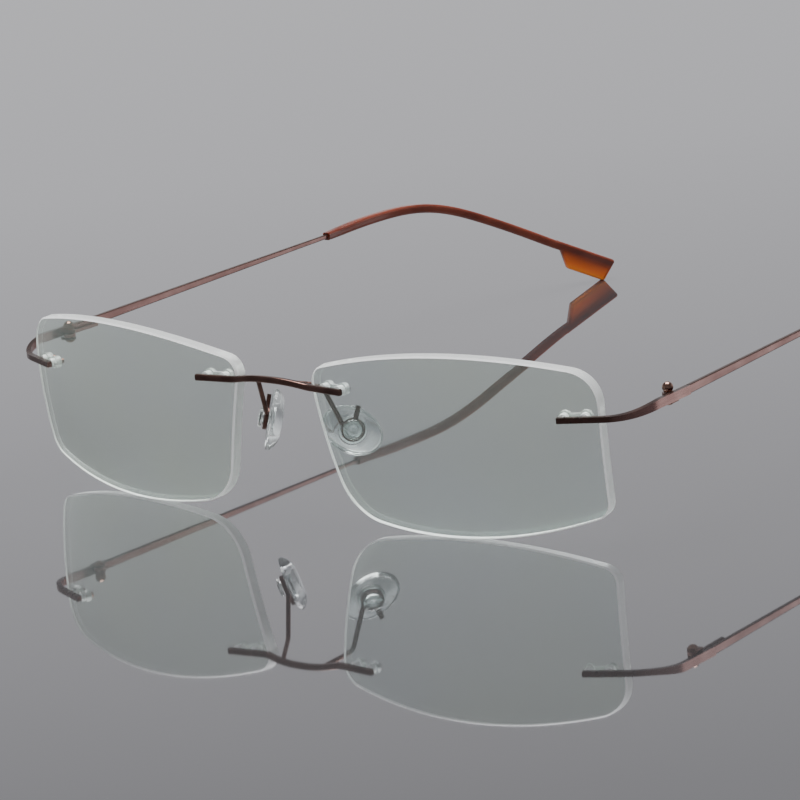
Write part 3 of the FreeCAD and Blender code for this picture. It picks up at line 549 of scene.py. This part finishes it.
def turned_mesh(name, profile, origin, axis, segments):
    """A profile turned about an axis, closed at both its ends on the axis."""
    side_way = axis.orthogonal().normalized()
    spokes = [Matrix.Rotation(angle, 3, axis) @ side_way for angle in ring_angles(segments)]
    rings = [[origin + spoke * radius * MM + axis * height * MM for spoke in spokes]
             for radius, height in profile[1:-1]]
    ends = [origin + axis * height * MM for _, height in (profile[0], profile[-1])]
    return ringed_mesh(name, rings, ends)


for side in SIDES:
    origin, facing = ring_axis(side)
    stud = turned_mesh("stud_mesh_" + side, STUD_HEAD + STUD_NECK + STUD_PLATE, origin, facing,
                       STUD_SEGMENTS)
    new_piece("stud_" + side, stud, stud_plastic,
              "pad_mount_" + side, "pad_stud_" + side)


# Floor, light and camera

FLOOR_HALF = 6.0        # metres
FLOOR_GAP = 2e-5        # metres, so that the floor doesn't touch the lowest points
# how low the angle is at which the floor is seen, from 0 straight above it to 1 along it:
# matt up to the first, and a mirror from the second
MATT_TO, MIRROR_FROM = 0.4, 0.64
# the wall's brightness by height, which is the sine of the angle above the horizon
WALL = [(0.15, colour(0.86, 0.86, 0.88)), (0.21, colour(0.8, 0.8, 0.82)),
        (0.265, colour(0.57, 0.57, 0.585)), (0.33, colour(0.375, 0.375, 0.385)),
        (1.0, colour(0.2, 0.2, 0.21))]
WALL_WAY = (-0.5, 0.62, 0)
WALL_START, WALL_FULL = 0.1, 0.6        # along the wall's way, where the wall sets in
NEAR_SIDE = colour(0.27, 0.27, 0.28)


def floor_material():
    """Pale grey polished sheet: a mirror where it is seen at a low angle, and matt from above."""
    material, tree, output = new_material("studio_floor")
    mirror = add_node(tree, "BsdfPrincipled", {
        "Base Color": colour(0.42, 0.417, 0.437),
        "Metallic": 0.93,
        "Roughness": spread(tree, noise(tree, scale=3), 0.0, 0.03),
    })
    matt = add_node(tree, "BsdfPrincipled", {"Base Color": colour(0.17, 0.17, 0.175), "Roughness": 0.5})
    grazing = add_node(tree, "LayerWeight", {"Blend": 0.5}).outputs["Facing"]
    mirror_share = mapped_range(tree, grazing, MATT_TO, MIRROR_FROM)
    set_surface(tree, output, mixed_shader(tree, mirror_share, matt, mirror))
    return material


def build_floor():
    """A wide flat floor just under the glasses."""
    mesh = bpy.data.meshes.new("floor")
    corners = [(x * FLOOR_HALF, y * FLOOR_HALF, 0) for x, y in ((-1, -1), (1, -1), (1, 1), (-1, 1))]
    mesh.from_pydata(corners, [], [(0, 1, 2, 3)])
    floor = bpy.data.objects.new("floor", mesh)
    floor.location.z = cad_box[0][2] - FLOOR_GAP
    mesh.materials.append(floor_material())
    bpy.context.scene.collection.objects.link(floor)


def build_world():
    """A grey studio: a wall behind the pair, bright low down and dimmer higher up, and a dark near side."""
    world = bpy.data.worlds.new("studio")
    world.use_nodes = True
    tree = world.node_tree
    way = add_node(tree, "TexCoord").outputs["Generated"]
    height = add_node(tree, "SeparateXYZ", {"Vector": way}).outputs["Z"]
    wall_share = mapped_range(tree, dot_product(tree, way, WALL_WAY), WALL_START, WALL_FULL)
    glow = mixed_colour(tree, wall_share, NEAR_SIDE, ramp(tree, height, WALL))
    tree.links.new(glow, tree.nodes["Background"].inputs["Color"])
    bpy.context.scene.world = world


def area_light(name, place, target, size, power):
    """A rectangular lamp aimed at a target, with its size in metres and its power in watts."""
    data = bpy.data.lights.new(name, "AREA")
    data.shape = "RECTANGLE"
    data.size, data.size_y = size
    data.energy = power
    light = bpy.data.objects.new(name, data)
    light.location = place
    light.rotation_euler = (Vector(target) - Vector(place)).to_track_quat("-Z", "Y").to_euler()
    bpy.context.scene.collection.objects.link(light)


def build_camera(place, heading, fall, roll, lens, sensor=36):
    """The camera: heading left of +Y, fall below level and roll in degrees, lens and sensor in mm."""
    data = bpy.data.cameras.new("camera")
    data.sensor_width = sensor
    data.lens = lens
    camera = bpy.data.objects.new("camera", data)
    camera.matrix_world = (Matrix.Translation(place)
                           @ Matrix.Rotation(math.radians(heading), 4, "Z")
                           @ Matrix.Rotation(math.pi / 2 - math.radians(fall), 4, "X")
                           @ Matrix.Rotation(math.radians(roll), 4, "Z"))
    bpy.context.scene.collection.objects.link(camera)
    bpy.context.scene.camera = camera


build_floor()
build_world()
area_light("overhead", place=(-0.1, 0.15, 0.9), target=(0, 0, 0), size=(0.8, 0.8), power=20)
area_light("side", place=(0.78, 1.0, 0.3), target=(0.06, -0.04, 0), size=(0.5, 0.3), power=0.9)
build_camera(place=(0.56494, -0.689, 0.23833), heading=41.207, fall=14.756, roll=-6.31, lens=235.35)
